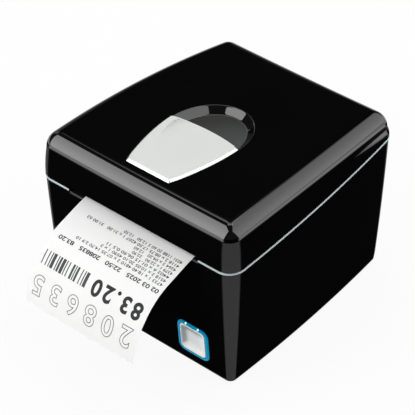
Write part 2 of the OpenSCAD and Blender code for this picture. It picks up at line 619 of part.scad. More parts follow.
module arm(x) difference() {
    along_x(x[0], x[1]) polygon([[fy(9), dz(10)], [fy(9), tz(11.7)], [fy(15), tz(7.2)],
        [fy(21), tz(3.7)], [by(55), tz(3.7)], [by(25), tz(7.2)], [by(11), hinge_z + 7.5],
        [by(9), hinge_z + 2.5], [fy(38), dz(14)], [fy(38), dz(7)], [fy(19), dz(7)]]);
    rod_x(x[0] - 1, x[1] + 1, platen_y, platen_z, bush_r);
    rod_x(x[0] - 1, x[1] + 1, latch_y, latch_z, latch_shaft_r + run_gap);
}
module cover_frame() color([0.15, 0.15, 0.16]) difference() {
    union() {
        arm(left_arm);
        arm(right_arm);
        block([left_arm[1], fy(39), tz(15.7)], [right_arm[0], fy(41), tz(10.2)]);
        block([left_arm[1], by(39), tz(15.7)], [right_arm[0], by(37), tz(9.7)]);
        // beam of the fixed blade
        block([left_arm[1], cut_y - 4.3, dz(10)], [right_arm[0], cut_y - 2.3, dz(18)]);
        // lugs of the lever's pin
        for (s = [-1, 1]) {
            x0 = s > 0 ? 14.2 : -17.2;
            along_x(x0, x0 + 3) polygon([[lever_y - 4.3, dz(12)], [lever_y - 4.3, tz(8.7)],
                [lever_y - 2, tz(4)], [lever_y + 2, tz(4)], [lever_y + 1.4, tz(9.7)],
                [lever_y - 2.3, dz(18)]]);
        }
        // rear bar with the cover's knuckles
        block([lx(16.2), by(11), hinge_z + 2.5], [rx(7.8), by(4), hinge_z + 7.5]);
        for (s = [-1, 1]) {
            x0 = s > 0 ? cover_knuckle[0] : -cover_knuckle[1];
            x1 = s > 0 ? cover_knuckle[1] : -cover_knuckle[0];
            block([x0, by(7), hinge_z + 1.6], [x1, hinge_y, hinge_z + 5]);
            rod_x(x0, x1, hinge_y, hinge_z, knuckle_r);
        }
        for (p = post_places) {
            translate([p.x, p.y, tz(10.7)])
                cylinder(r = 3, h = top(p.x, p.y) - skin_t - 0.2 - tz(10.7));
            block([p.x < 0 ? p.x : right_arm[1], p.y - 2, tz(10.7)],
                [p.x < 0 ? left_arm[0] : p.x, p.y + 2, tz(8.2)]);
        }
    }
    for (s = [-1, 1]) translate([s * (cover_knuckle[0] + knuckle_w / 2), 0, 0])
        rod_x(-4, 4, hinge_y, hinge_z, hinge_pin_r + run_gap);
    for (s = [-1, 1]) rod_x(s * 15.7 - 3, s * 15.7 + 3, lever_y, lever_z, lever_pin_r);
    for (p = post_places) translate([p.x, p.y, tz(11.7)]) cylinder(r = 1.3, h = 7);
}
module cover_screws() color([0.6, 0.6, 0.62]) for (p = post_places)
    translate([p.x, p.y, tz(10.7)]) difference() {
        union() {
            translate([0, 0, -1.6]) cylinder(r = 2.4, h = 1.6);
            cylinder(r = 1.25, h = 5);
        }
        block([-0.3, -1.8, -2], [0.3, 1.8, -0.8]);
        block([-1.8, -0.3, -2], [1.8, 0.3, -0.8]);
    }
module hinge_pins() color([0.75, 0.75, 0.77]) for (s = [-1, 1]) {
    x0 = s > 0 ? cover_knuckle[0] - 0.6 : -base_knuckle[1];
    x1 = s > 0 ? base_knuckle[1] : -cover_knuckle[0] + 0.6;
    rod_x(x0, x1, hinge_y, hinge_z, hinge_pin_r);
    rod_x(s > 0 ? x1 : x0 - 0.8, s > 0 ? x1 + 0.8 : x0, hinge_y, hinge_z, hinge_pin_r + 1);
}

// ---- opening lever and latch ----
lever_front = fy(13);
lever_side = fy(58.5);
lever_back = fy(62.4);
// Right half of the lever's plan, from the middle of its front to the middle of its back.
lever_half = concat(
    [[0, lever_front], [lever_front_w / 4, lever_front], [lever_front_w / 2 - 1.6, lever_front],
        [lever_front_w / 2 - 0.4, lever_front + 0.5], [lever_front_w / 2 + 0.3, lever_front + 1.8]],
    [for (t = [0.18:0.2:0.98]) [mix(lever_front_w, lever_back_w, sin(90 * t) ^ 0.9) / 2,
        mix(lever_front, lever_side, t)]],
    [[lever_back_w / 2 - 0.1, lever_side + 0.2], [lever_back_w / 2 - 1, lever_side + 0.9],
        [15, lever_back - 1.0], [8, lever_back - 0.3], [0, lever_back]]);
lever_plan = concat(lever_half,
    [for (i = [len(lever_half) - 2:-1:1]) [-lever_half[i].x, lever_half[i].y]]);
lever_mid = [0, fy(40)];
lever_rise = 1.5;
lever_bevel = 0.8;
lever_gap = 0.35;
function lever_dish(q) = dish_depth
    * max(0, 1 - (q.x / (well_w / 2 - 3.7)) ^ 2 - ((q.y - well_y) / (well_l / 2)) ^ 2) ^ 0.75;
// A ring at share k of the lever's plan, rise above the cover, with a share of the thumb rest.
function lever_ring(k, drawn, rise, share) = [for (p = lever_plan)
    let (d = p - lever_mid, q = lever_mid + d * (k - drawn / norm(d)))
        [q.x, q.y, top(q.x, q.y) + rise - share * lever_dish(q)]];
module open_lever() color([0.84, 0.86, 0.84]) union() {
    under = 0.8;
    ring_solid([lever_mid.x, lever_mid.y, top(0, lever_mid.y) + lever_rise - lever_dish(lever_mid)],
        concat([for (k = [0.25, 0.5, 0.75, 0.9]) lever_ring(k, 0, lever_rise, 1)],
            [lever_ring(1, lever_bevel, lever_rise, 1),
                lever_ring(1, 0, lever_rise - 0.8 * lever_bevel, 1),
                lever_ring(1, 0, lever_gap + 0.15, under), lever_ring(1, 0.15, lever_gap, under)],
            [for (k = [0.9, 0.75, 0.5, 0.25]) lever_ring(k, 0, lever_gap, under)]),
        [lever_mid.x, lever_mid.y, top(0, lever_mid.y) + lever_gap - under * lever_dish(lever_mid)]);
    difference() {
        union() {
            rod_x(-12, 12, lever_y, lever_z, 1.9);
            block([-12, lever_y - 0.6, lever_z], [12, lever_y + 2.4, case_h + 0.5]);
            for (s = [-1, 1]) block([s * 9 - 1.5, lever_y - 1.2, lever_z - 5.5],
                [s * 9 + 1.5, lever_y + 0.6, lever_z]);
        }
        rod_x(-14, 14, lever_y, lever_z, lever_pin_r + run_gap);
    }
}
module lever_pin() color([0.75, 0.75, 0.77])
    rod_x(-17, 17, lever_y, lever_z, lever_pin_r);
module latch_hooks() color([0.7, 0.71, 0.73]) {
    rod_x(-hook_x[1] - 0.5, hook_x[1] + 0.5, latch_y, latch_z, latch_shaft_r);
    for (s = [-1, 1]) {
        // finger pushed by the lever
        block([s * 9 - 1.5, lever_y + 1, latch_z], [s * 9 + 1.5, latch_y, latch_z + 4.2]);
        x0 = s > 0 ? hook_x[0] : -hook_x[1];
        translate([0, latch_y, latch_z]) along_x(x0, x0 + 3) polygon([[-2, 2], [2, 2],
            [1.1, -6], [1.1, -12.4], [3.4, -12.4], [2.6, -14.4], [-1.4, -14.8]]);
    }
}
module latch_spring() color([0.7, 0.7, 0.72])
    translate([paper_x + 19.8, latch_y, latch_z]) coil(2.3, 0.35, 5, 5);
// Studs under the hooks on plates with a foot that reaches towards the base's wall.
module latch_keepers() color([0.6, 0.61, 0.63]) for (s = [0, 1]) mirror([s, 0, 0]) {
    x0 = hook_x[1] + 1.5;
    low = keeper_z - 24;
    x1 = side(keeper_y) - base_inset(low / seam_front) - wall - 1;
    block([x0, keeper_y - 6.5, low], [x0 + 2, keeper_y + 5.5, keeper_z + 4]);
    block([x0, keeper_y - 4.5, low - 2], [x1, keeper_y + 3.5, low]);
    rod_x(hook_x[0] - 1, x0, keeper_y, keeper_z, keeper_r);
}

// ---- paper ----
module paper_roll() color([0.95, 0.95, 0.94]) difference() {
    rod_x(paper_l + 0.2, paper_rt - 0.2, roll_y, roll_z, roll_r);
    rod_x(paper_l - 1, paper_rt + 1, roll_y, roll_z, core_r);
}
module roll_core() color([0.7, 0.6, 0.45]) difference() {
    rod_x(paper_l + 0.2, paper_rt - 0.2, roll_y, roll_z, core_r);
    rod_x(paper_l - 1, paper_rt + 1, roll_y, roll_z, core_r - 1.5);
}
web_line = [[roll_y - 2.5, roll_z + roll_r + 0.45], [fy(34), dz(5.95)], [platen_y, dz(5.8)],
    [web_end, dz(5)]];
module paper_web() color([0.95, 0.95, 0.94])
    along_x(paper_l, paper_rt) polygon(strip(web_line, sheet_t));
// The receipt's run from the cutter through the slot and down in front of the case.
receipt_line = [for (p = [[receipt_start + half_d, 4.9], [8, 4.3], [0.3, 3], [-7, 0.9],
    [-14.2, -1.6], [-20, -3.6], [-25.6, -6.1], [-30.3, -9.2], [-34.6, -13], [-38.6, -17.6],
    [-42.2, -22.6], [-45.2, -28.4], [-47.2, -34], [-48.4, -39.4]]) [fy(p.x), dz(p.y)]];
module receipt() color([0.96, 0.96, 0.95]) {
    along_x(paper_l, paper_rt) polygon(strip(receipt_line, sheet_t));
    along_x(paper_x - bridge_w / 2, paper_x + bridge_w / 2)
        polygon(strip([[web_end, dz(5)], [receipt_start, dz(4.9)]], sheet_t));
}
module paper_sensor() color([0.1, 0.1, 0.1]) {
    translate([paper_x + 9.8, fy(48), deck_z]) {
        block([-4, -3, 0], [4, 3, 2]);
        block([-2, -2, 2], [2, 2, 4.5]);
    }
}
module cover_switch() color([0.1, 0.1, 0.1]) {
    block([right_cheek[1], fy(45), dz(-12)], [right_cheek[1] + 6, fy(59), dz(-2)]);
    block([right_cheek[1] + 2, fy(51), dz(-2)], [right_cheek[1] + 4, fy(54), dz(0.5)]);
}

// Lifts the case onto its feet.
module stand() translate([0, 0, foot_h]) children();
stand() base_shell();
stand() bottom_plate();
stand() rubber_feet();
stand() base_screws();
stand() chassis();
stand() seam_trim();
stand() tear_bar();
stand() button_bezel();
stand() feed_button();
stand() button_board();
stand() main_board();
stand() usb_port();
stand() serial_port();
stand() drawer_port();
stand() power_inlet();
stand() print_head();
stand() head_heatsink();
stand() head_springs();
stand() head_pivot();
stand() feed_motor();
stand() motor_pinion();
stand() idler_gear();
stand() idler_stud();
stand() platen_shaft();
stand() platen_rubber();
stand() platen_gear();
stand() platen_bushings();
stand() cutter_frame();
stand() cutter_blade();
stand() cutter_motor();
stand() cutter_pinion();
stand() fixed_blade();
stand() cover_shell();
stand() cover_frame();
stand() cover_screws();
stand() open_lever();
stand() lever_pin();
stand() latch_hooks();
stand() latch_spring();
stand() latch_keepers();
stand() hinge_pins();
stand() paper_roll();
stand() roll_core();
stand() paper_web();
stand() receipt();
stand() paper_sensor();
stand() cover_switch();
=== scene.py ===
"""Looks of the receipt printer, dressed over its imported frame. Metres, front at -Y."""

import json
import math

import bmesh
import bpy
from mathutils import Matrix, Vector


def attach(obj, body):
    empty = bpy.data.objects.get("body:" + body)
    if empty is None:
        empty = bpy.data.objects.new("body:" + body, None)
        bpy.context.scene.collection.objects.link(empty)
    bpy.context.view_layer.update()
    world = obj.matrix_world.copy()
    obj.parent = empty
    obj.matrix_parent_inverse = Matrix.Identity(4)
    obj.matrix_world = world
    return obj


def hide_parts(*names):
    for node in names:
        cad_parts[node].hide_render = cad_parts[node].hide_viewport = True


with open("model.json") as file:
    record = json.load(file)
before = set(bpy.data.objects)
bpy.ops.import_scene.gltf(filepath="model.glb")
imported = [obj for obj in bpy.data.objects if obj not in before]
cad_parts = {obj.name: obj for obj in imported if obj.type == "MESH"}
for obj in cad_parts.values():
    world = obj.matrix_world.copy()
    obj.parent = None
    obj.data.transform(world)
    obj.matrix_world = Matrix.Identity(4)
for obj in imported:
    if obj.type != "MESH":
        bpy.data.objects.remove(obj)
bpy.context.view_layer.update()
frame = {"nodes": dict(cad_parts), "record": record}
MM = 0.001

# ---- camera ----
IMAGE_PIXELS = 415
FOCAL_PIXELS = 2179.6
SENSOR = 36.0
CAMERA_AT = Vector((649.7, -735.8, 800.6)) * MM
CAMERA_RIGHT = Vector((0.7475, 0.6642, -0.0085))
CAMERA_UP = Vector((-0.3983, 0.4583, 0.7946))


def add_camera():
    right = CAMERA_RIGHT.normalized()
    back = right.cross(CAMERA_UP).normalized()
    up = back.cross(right)
    bpy.ops.object.camera_add(location=CAMERA_AT)
    camera = bpy.context.object
    camera.rotation_mode = "QUATERNION"
    camera.rotation_quaternion = Matrix((right, up, back)).transposed().to_quaternion()
    camera.data.sensor_width = SENSOR
    camera.data.lens = FOCAL_PIXELS / IMAGE_PIXELS * SENSOR
    camera.data.clip_start = 0.05
    camera.data.clip_end = 20
    bpy.context.scene.camera = camera


# ---- sizes of the case, in millimetres above its underside ----
FOOT = 1.5
HALF_W = 69.25
HALF_D = 75.0
TAPER = 4.8
BOW = 2.7
CORNER_R = 9.9
TOP_R = 9.8
CASE_H = 108.7
CROWN_ACROSS = 0.63
CROWN_ALONG = 2.93
CROWN_FALL = 1.63
SEAM_FRONT = 80.5
SEAM_BACK = 89.5
SEAM_GAP = 0.6
COVER_GAP = 0.7
WALL = 2.4
SKIN = 2.2
BASE_DRAFT = 5.1
BASE_STEP = 0.3
COVER_DRAFT = 1.4
SLOT_HALF = 47.6
SLOT_LOW = 2.1
SLOT_HIGH = 2.4
SLOT_DEEP = 5
BASE_KNUCKLE = (40.2, 46.3)
COVER_KNUCKLE = (34.4, 40.5)
WELL_A = 24.4
WELL_B = 31.5
WELL_Y = -16.3
WELL_DEPTH = 4.4
# How far a cutting block reaches past the outside, and past the parting line.
PAST = 2
OVER_SEAM = 3


def mix(a, b, t):
    return a + (b - a) * t


def side(y):
    """Half the case's width at y."""
    return HALF_W - BOW * (y / HALF_D) ** 2 - TAPER * y / HALF_D


def side_lean(y):
    """Angle of the side wall at y, seen from above."""
    return math.atan((2 * BOW * y / HALF_D + TAPER) / HALF_D)


def seam(y):
    """Height of the parting line at y."""
    return mix(SEAM_FRONT, SEAM_BACK, (y + HALF_D) / (2 * HALF_D))


def crown(x, y):
    """Height of the cover's top."""
    return (CASE_H + CROWN_ACROSS * (x / HALF_W) ** 2 - CROWN_ALONG * (y / HALF_D) ** 2
            - CROWN_FALL * y / HALF_D)


# Steps of the plan's corners and sides, and its points at the front and the back.
ARC_STEPS = 10
SIDE_STEPS = 22
FRONT_STOPS = (0, 8, 16, 24, 32, 40, 47, 53)
BACK_STOPS = (0, 11, 23, 34, 40, 46, 50)


def outline(e):
    """Plan of the case drawn in by e, anticlockwise from the middle of the front."""
    r = max(CORNER_R - e, 2.0)
    yc = HALF_D - e - r
    lean_f, lean_b = side_lean(-yc), side_lean(yc)
    y0, y1 = -yc + r * math.sin(lean_f), yc + r * math.sin(lean_b)
    xf = side(-yc) - e - r
    xb = side(y1) - e - r * math.cos(lean_b)
    half = [(x, -HALF_D + e) for x in FRONT_STOPS]
    for i in range(ARC_STEPS + 1):
        a = mix(-math.pi / 2, lean_f, i / ARC_STEPS)
        half.append((xf + r * math.cos(a), -yc + r * math.sin(a)))
    for i in range(1, SIDE_STEPS):
        y = mix(y0, y1, i / SIDE_STEPS)
        half.append((side(y) - e, y))
    for i in range(ARC_STEPS + 1):
        a = mix(lean_b, math.pi / 2, i / ARC_STEPS)
        half.append((xb + r * math.cos(a), yc + r * math.sin(a)))
    half += [(x, HALF_D - e) for x in reversed(BACK_STOPS)]
    return half + [(-x, y) for x, y in reversed(half[1:-1])]


def at(x, y, z):
    """A point of the case in the frame's metres."""
    return Vector((x, y, z + FOOT)) * MM


# ---- modelling by hand ----
def deselect():
    if bpy.context.object and bpy.context.object.mode != "OBJECT":
        bpy.ops.object.mode_set(mode="OBJECT")
    bpy.ops.object.select_all(action="DESELECT")


def only(obj):
    deselect()
    obj.select_set(True)
    bpy.context.view_layer.objects.active = obj


def smooth(obj, angle=35):
    only(obj)
    bpy.ops.object.shade_smooth_by_angle(angle=math.radians(angle))


def loft(name, rings, closed=False, angle=35):
    """A circle extruded from ring to ring; a closed loft joins its last ring to its first."""
    count = len(rings[0])
    deselect()
    bpy.ops.mesh.primitive_circle_add(vertices=count, radius=0.01)
    obj = bpy.context.object
    obj.name = obj.data.name = name
    bpy.ops.object.mode_set(mode="EDIT")
    bpy.ops.mesh.select_all(action="SELECT")
    ring = list(range(count))
    for number, points in enumerate(rings):
        if number:
            bpy.ops.mesh.extrude_region_move()
        bm = bmesh.from_edit_mesh(obj.data)
        bm.verts.ensure_lookup_table()
        if number:
            place = {index: i for i, index in enumerate(ring)}
            fresh = [0] * count
            for v in bm.verts:
                if v.select:
                    old = [e.other_vert(v).index for e in v.link_edges]
                    fresh[next(place[i] for i in old if i in place)] = v.index
            ring = fresh
        for index, point in zip(ring, points):
            bm.verts[index].co = point
        bmesh.update_edit_mesh(obj.data)
    bm = bmesh.from_edit_mesh(obj.data)
    bm.verts.ensure_lookup_table()
    bpy.ops.mesh.select_all(action="DESELECT")
    if closed:
        for e in bm.edges:
            e.select_set(e.is_boundary)
        bpy.ops.mesh.bridge_edge_loops()
    else:
        for loop in (range(count), ring):
            bm = bmesh.from_edit_mesh(obj.data)
            bm.verts.ensure_lookup_table()
            bpy.ops.mesh.select_all(action="DESELECT")
            wanted = set(loop)
            for e in bm.edges:
                e.select_set(e.verts[0].index in wanted and e.verts[1].index in wanted
                             and e.is_boundary)
            bpy.ops.mesh.edge_face_add()
    bpy.ops.mesh.select_all(action="SELECT")
    bpy.ops.mesh.normals_make_consistent(inside=False)
    bpy.ops.object.mode_set(mode="OBJECT")
    smooth(obj, angle)
    return obj


def cut(obj, *cutters):
    """Takes the cutters' shapes out of a piece."""
    for cutter in cutters:
        only(obj)
        taken = obj.modifiers.new("cut", "BOOLEAN")
        taken.operation = "DIFFERENCE"
        taken.solver = "EXACT"
        taken.object = cutter
        bpy.ops.object.modifier_apply(modifier=taken.name)
        bpy.data.objects.remove(cutter, do_unlink=True)
    smooth(obj, 30)
    even = obj.modifiers.new("even", "WEIGHTED_NORMAL")
    even.keep_sharp = True
    even.weight = 90
    bpy.ops.object.modifier_apply(modifier=even.name)


def block(low, high):
    """A box between two corners given as points of the case."""
    a, b = at(*low), at(*high)
    deselect()
    bpy.ops.mesh.primitive_cube_add(size=1, location=(a + b) / 2)
    obj = bpy.context.object
    obj.scale = b - a
    bpy.ops.object.transform_apply(location=True, rotation=True, scale=True)
    return obj


def joined(name, parts, angle=35):
    deselect()
    for p in parts:
        p.select_set(True)
    bpy.context.view_layer.objects.active = parts[0]
    bpy.ops.object.join()
    obj = bpy.context.object
    obj.name = obj.data.name = name
    smooth(obj, angle)
    return obj


def face_outwards():
    """Turns the current piece's faces outwards."""
    bpy.ops.object.mode_set(mode="EDIT")
    bpy.ops.mesh.select_all(action="SELECT")
    bpy.ops.mesh.normals_make_consistent(inside=False)
    bpy.ops.object.mode_set(mode="OBJECT")


# ---- base ----
# Middle, width and height of each socket's opening in the rear wall.
SOCKETS = ((-31.24, 12.6, 12), (-5.58, 31.4, 13.2), (21.28, 15, 14), (39.24, 13.6, 12.6))
SOCKETS_LOW = 5.7
SOCKETS_FOOT = 6.5
SOCKETS_MID = 10


def base_inset(t):
    """How far the base is drawn in at the share t of its height."""
    u = 1 - t
    return BASE_DRAFT * (0.64 * u + 0.36 * u * u) + BASE_STEP


def base_ring(t, e, lift=0.0):
    return [at(x, y, lift + t * (seam(y) - SEAM_GAP - lift))
            for x, y in outline(base_inset(t) + e)]


def hinge_notches(inner, outer, low, high):
    """Blocks that take the hinge arms' gaps out of the rear edge, one on each side."""
    return [block((min(s * inner, s * outer), HALF_D - 5, low),
                  (max(s * inner, s * outer), HALF_D + PAST, high)) for s in (-1, 1)]


def slot_block(low, high):
    """A block that takes the paper's exit out of the front wall."""
    return block((-SLOT_HALF, -HALF_D - PAST, low), (SLOT_HALF, -HALF_D + SLOT_DEEP, high))


def base_shell():
    foot_r, lip_r = 2.6, 0.35
    rings = [base_ring(0, foot_r * (1 - math.sin(a)), foot_r * (1 - math.cos(a)))
             for a in (math.radians(15 * i) for i in range(7))]
    rings += [base_ring(t, 0) for t in (0.08, 0.2, 0.35, 0.5, 0.65, 0.8, 0.9, 0.96, 0.985)]
    rings += [base_ring(0.996, 0.05), base_ring(1, lip_r), base_ring(1, WALL - 0.2)]
    rings += [base_ring(t, WALL) for t in (0.98, 0.6, 0.3)]
    rings.append(base_ring(0, WALL + 0.1))
    shell = loft("base_case", rings, closed=True)
    rear_y = HALF_D - base_inset(SOCKETS_MID / SEAM_BACK)
    cut(shell, *(block((x - w / 2, rear_y - 6, SOCKETS_LOW),
                       (x + w / 2, HALF_D + PAST, SOCKETS_FOOT + h)) for x, w, h in SOCKETS),
        square_loft("button_hole", [(21.5, 3.9, -3), (21.5, 3.9, 9)]),
        slot_block(SEAM_FRONT - SLOT_LOW, SEAM_FRONT + OVER_SEAM),
        *hinge_notches(*BASE_KNUCKLE, SEAM_BACK - 5.3, SEAM_BACK + OVER_SEAM))
    return shell


# ---- cover ----
# Opposite corners of the pocket for the lever's foot.
LEVER_SEAT = ((-13.5, -61.7, CASE_H - 9), (13.5, -55.5, CASE_H + 3))


def cover_side(v, e):
    """Ring of the side wall at the share v of its height."""
    return [at(x, y, mix(seam(y) + COVER_GAP, crown(x, y) - TOP_R, v))
            for x, y in outline(COVER_DRAFT * v * v + e)]


def cover_round(a, r, e, drop):
    """Ring of the rounding between the side wall and the top, at the angle a."""
    return [at(x, y, crown(x, y) - drop - r * (1 - math.sin(a)))
            for x, y in outline(COVER_DRAFT + e + r * (1 - math.cos(a)))]


def well_edge(x, y, grown):
    a, b = WELL_A + grown, WELL_B + grown
    t = math.atan2((y - WELL_Y) / b, x / a)
    return a * math.cos(t), WELL_Y + b * math.sin(t)


def cover_top(t, e, drop, grown):
    """Ring of the top at the share t of the way from its edge to the well."""
    ring = []
    for x, y in outline(COVER_DRAFT + e):
        wx, wy = well_edge(x, y, grown)
        px, py = mix(x, wx, t), mix(y, wy, t)
        ring.append(at(px, py, crown(px, py) - drop))
    return ring


# Inset from the well's edge and depth below the top, from the rim down to the middle.
WELL_PROFILE = ((-0.6, 0), (-0.25, 0.02), (0.0, 0.08), (0.25, 0.24), (0.6, 0.55), (1.4, 1.33),
                (2.3, 2.2), (3.2, 3.07), (3.7, 3.55), (3.95, 3.76), (4.25, 3.9), (4.7, 3.98),
                (6, 4.1), (9, 4.28), (13, WELL_DEPTH), (18, WELL_DEPTH), (21, WELL_DEPTH))
WELL_BACK = ((-1.5, SKIN), (-0.6, SKIN + 0.9), (2, WELL_DEPTH + SKIN - 1), (4, WELL_DEPTH + SKIN),
             (20, WELL_DEPTH + SKIN))


def well_rings(profile):
    return [cover_top(1, TOP_R, depth, -inset) for inset, depth in profile]


def cover_shell():
    quarter = [math.radians(90 - 9 * i) for i in range(11)]
    rings = well_rings(reversed(WELL_PROFILE))
    rings += [cover_top(t, TOP_R, 0, 1.3) for t in (0.85, 0.7, 0.55, 0.4, 0.27, 0.15, 0.06)]
    rings += [cover_round(a, TOP_R, 0, 0) for a in quarter]
    rings += [cover_side(v, 0) for v in (0.85, 0.68, 0.5, 0.33, 0.18, 0.06)]
    rings += [cover_side(0.02, 0.05), cover_side(0, 0.4), cover_side(0, SKIN - 0.2)]
    rings += [cover_side(v, SKIN) for v in (0.04, 0.5, 1)]
    rings += [cover_round(a, TOP_R - SKIN, SKIN, SKIN)
              for a in (math.radians(d) for d in (25, 50, 75, 90))]
    rings += [cover_top(t, TOP_R, SKIN, 2.2) for t in (0.3, 0.6, 0.9)]
    rings += well_rings(WELL_BACK)
    shell = loft("cover_case", rings)
    cut(shell, block(*LEVER_SEAT), slot_block(SEAM_FRONT - OVER_SEAM, SEAM_FRONT + SLOT_HIGH),
        *hinge_notches(*COVER_KNUCKLE, SEAM_BACK - OVER_SEAM, SEAM_BACK + 5.4))
    return shell


def seam_band():
    """The silver strip along the parting line, cut away at the slot and the hinges."""
    profile = ((0.1, -SEAM_GAP), (-0.1, -0.45), (-0.16, -0.02), (-0.1, 0.4), (0.1, 0.55),
               (WALL, 0.55), (WALL, -SEAM_GAP))
    rings = [[at(x, y, seam(y) + z) for x, y in outline(e + 0.06)] for e, z in profile]
    band = loft("seam_band", rings, closed=True)
    cut(band, slot_block(SEAM_FRONT - OVER_SEAM, SEAM_FRONT + OVER_SEAM))
    inner, outer = COVER_KNUCKLE[0], BASE_KNUCKLE[1]
    for low, high in ((-outer, -inner), (inner, outer)):
        cut(band, block((low, HALF_D - 6, SEAM_BACK - 5), (high, HALF_D + PAST, SEAM_BACK + 5)))
    return band


# ---- opening lever ----
LEVER_FRONT = -62.0
LEVER_SIDE = -16.5
LEVER_BACK = -11.2
LEVER_FRONT_W = 31.6
LEVER_BACK_W = 49.0
LEVER_MID = (0.0, -35.0)
LEVER_RISE = 1.5
LEVER_GAP = 0.35
LEVER_BEVEL = 1.1
DISH_A = 20.3
DISH_B = 30.7
DISH_Y = -17.0
DISH_DEPTH = 1.35
DISH_SHAPE = 0.95
PIN_Y = -60
PIN_Z = 103.5


def lever_plan():
    """Plan of the lever: a straight front, flared sides and a bowed back."""
    half = [(x, LEVER_FRONT) for x in (0, 3.5, 7, 10.5, 13.6)]
    for i in range(1, 6):
        a = math.radians(15 * i)
        half.append((15.0 + 0.9 * math.sin(a), LEVER_FRONT + 0.9 * (1 - math.cos(a))))
    for i in range(1, 17):
        t = mix(0.045, 0.975, i / 16)
        w = mix(LEVER_FRONT_W, LEVER_BACK_W, math.sin(math.pi / 2 * t) ** 0.9)
        half.append((w / 2, mix(LEVER_FRONT, LEVER_SIDE, t)))
    half += [(24.5, -16.7), (24.42, -16.2), (24.15, -15.85), (23.7, -15.6)]
    for i in range(1, 16):
        x = 23.7 * (1 - i / 16)
        half.append((x, mix(-15.6, LEVER_BACK, 1 - (x / 23.7) ** 2)))
    half.append((0.0, LEVER_BACK))
    return half + [(-x, y) for x, y in reversed(half[1:-1])]


def lever_dish(x, y):
    """Depth of the thumb rest, a bowl over the finger well."""
    inside = max(0, 1 - (x / DISH_A) ** 2 - ((y - DISH_Y) / DISH_B) ** 2)
    return DISH_DEPTH * inside ** DISH_SHAPE


def lever_ring(k, drawn, rise, share=1.0):
    """The lever's plan at the scale k, drawn in and laid over the cover's top."""
    ring = []
    for x, y in lever_plan():
        d = Vector((x - LEVER_MID[0], y - LEVER_MID[1]))
        q = Vector(LEVER_MID) + d * (k - drawn / d.length)
        ring.append(at(q.x, q.y, crown(q.x, q.y) + rise - share * lever_dish(q.x, q.y)))
    return ring


def open_lever():
    rings = [lever_ring(0.02 + 0.03 * i, 0, LEVER_RISE) for i in range(31)]
    rings += [lever_ring(1, drawn * LEVER_BEVEL, LEVER_RISE - drop * LEVER_BEVEL)
              for drawn, drop in ((1, 0), (0.89, 0.04), (0.22, 0.52), (0.06, 0.65), (0, 0.77))]
    rings += [lever_ring(1, 0, LEVER_GAP + 0.1, 0.8), lever_ring(1, 0.1, LEVER_GAP, 0.8)]
    rings += [lever_ring(k, 0, LEVER_GAP, 0.8) for k in (0.9, 0.7, 0.5, 0.3, 0.1)]
    plate = loft("lever_plate", rings)
    parts = [plate, block((-12, -60.6, PIN_Z), (12, -57.6, CASE_H + 0.5))]
    for x in (-9, 9):
        parts.append(block((x - 1.5, -61.2, 98), (x + 1.5, -59.4, PIN_Z)))
    deselect()
    bpy.ops.mesh.primitive_cylinder_add(vertices=40, radius=1.9 * MM, depth=24 * MM,
                                        location=at(0, PIN_Y, PIN_Z),
                                        rotation=(0, math.pi / 2, 0))
    barrel = bpy.context.object
    bpy.ops.object.transform_apply(location=True, rotation=True, scale=True)
    return joined("lever_plate", [*parts, barrel], 40)


# ---- feed button, in the frame of the leaning front face ----
BUTTON_AT = (40.2, 19.2)
FACE_TILT = math.radians(4.3)
# Radius and place of the two glowing spots, painted highlights on the ring.
GLINT_R = 0.62
GLINT_AT = (4.4, -0.6, 10.55)


def in_face(x, depth, z):
    """A point of the front face, depth millimetres behind it."""
    seat_y = base_inset(BUTTON_AT[1] / SEAM_FRONT) - HALF_D
    c, s = math.cos(FACE_TILT), math.sin(FACE_TILT)
    return at(BUTTON_AT[0] + x, seat_y + depth * c - z * s, BUTTON_AT[1] + depth * s + z * c)


def square_loft(name, profile, closed=False, angle=35):
    """Rings of rounded squares, each (width, corner radius, depth behind the face)."""
    rings = []
    for width, radius, depth in profile:
        ring = []
        h = width / 2 - radius
        for k, (sx, sz) in enumerate(((1, 1), (-1, 1), (-1, -1), (1, -1))):
            for i in range(9):
                a = math.radians(90 * k + 90 * i / 8)
                x, z = sx * h + radius * math.cos(a), sz * h + radius * math.sin(a)
                ring.append(in_face(x, depth, z))
        rings.append(ring)
    return loft(name, rings, closed, angle)


def button_bezel():
    return square_loft("bezel_ring", (
        (21.1, 3.5, 6.6), (21.1, 3.5, 0.2), (22.0, 4.5, 0.15), (22.2, 4.6, 0.0),
        (22.2, 4.6, -0.3), (21.9, 4.45, -0.52), (21.3, 4.25, -0.7), (20.3, 3.8, -0.98),
        (19.5, 3.45, -1.08), (19.1, 3.2, -1.02), (18.8, 3.1, -0.8), (18.7, 3.05, -0.4),
        (18.7, 3.05, 2.9), (20.3, 3.1, 2.95), (20.3, 3.1, 6.6)), closed=True, angle=50)


def feed_button():
    """A square cap with a raised rim round a shallow square pan."""
    pan = ((0.6, 0.1, 0.5), (3, 0.5, 0.5), (6, 1.1, 0.49), (8.2, 1.5, 0.46), (9.6, 1.7, 0.39),
           (10.8, 1.9, 0.27), (12, 2.1, 0.08), (13.2, 2.3, -0.16), (14.4, 2.5, -0.42),
           (15.5, 2.65, -0.66), (16.3, 2.75, -0.81), (16.9, 2.78, -0.88), (17.4, 2.8, -0.9),
           (17.8, 2.82, -0.87), (18.2, 2.87, -0.75), (18.4, 2.9, -0.5), (18.4, 2.9, 3.2),
           (19.8, 2.9, 3.25), (19.8, 2.9, 4.2), (4, 1.9, 4.2), (4, 1.9, 4.9))
    return square_loft("button_cap", pan, angle=50)


def painted_glints():
    """Two small glowing spots on the upper side of the ring: painted highlights, not lamps."""
    glints = []
    out, depth, up = GLINT_AT
    for x in (-out, out):
        deselect()
        bpy.ops.mesh.primitive_uv_sphere_add(segments=24, ring_count=12, radius=GLINT_R * MM,
                                             location=in_face(x, depth, up))
        bpy.ops.object.transform_apply(location=True, rotation=True, scale=True)
        glints.append(bpy.context.object)
    return joined("painted_glints", glints)


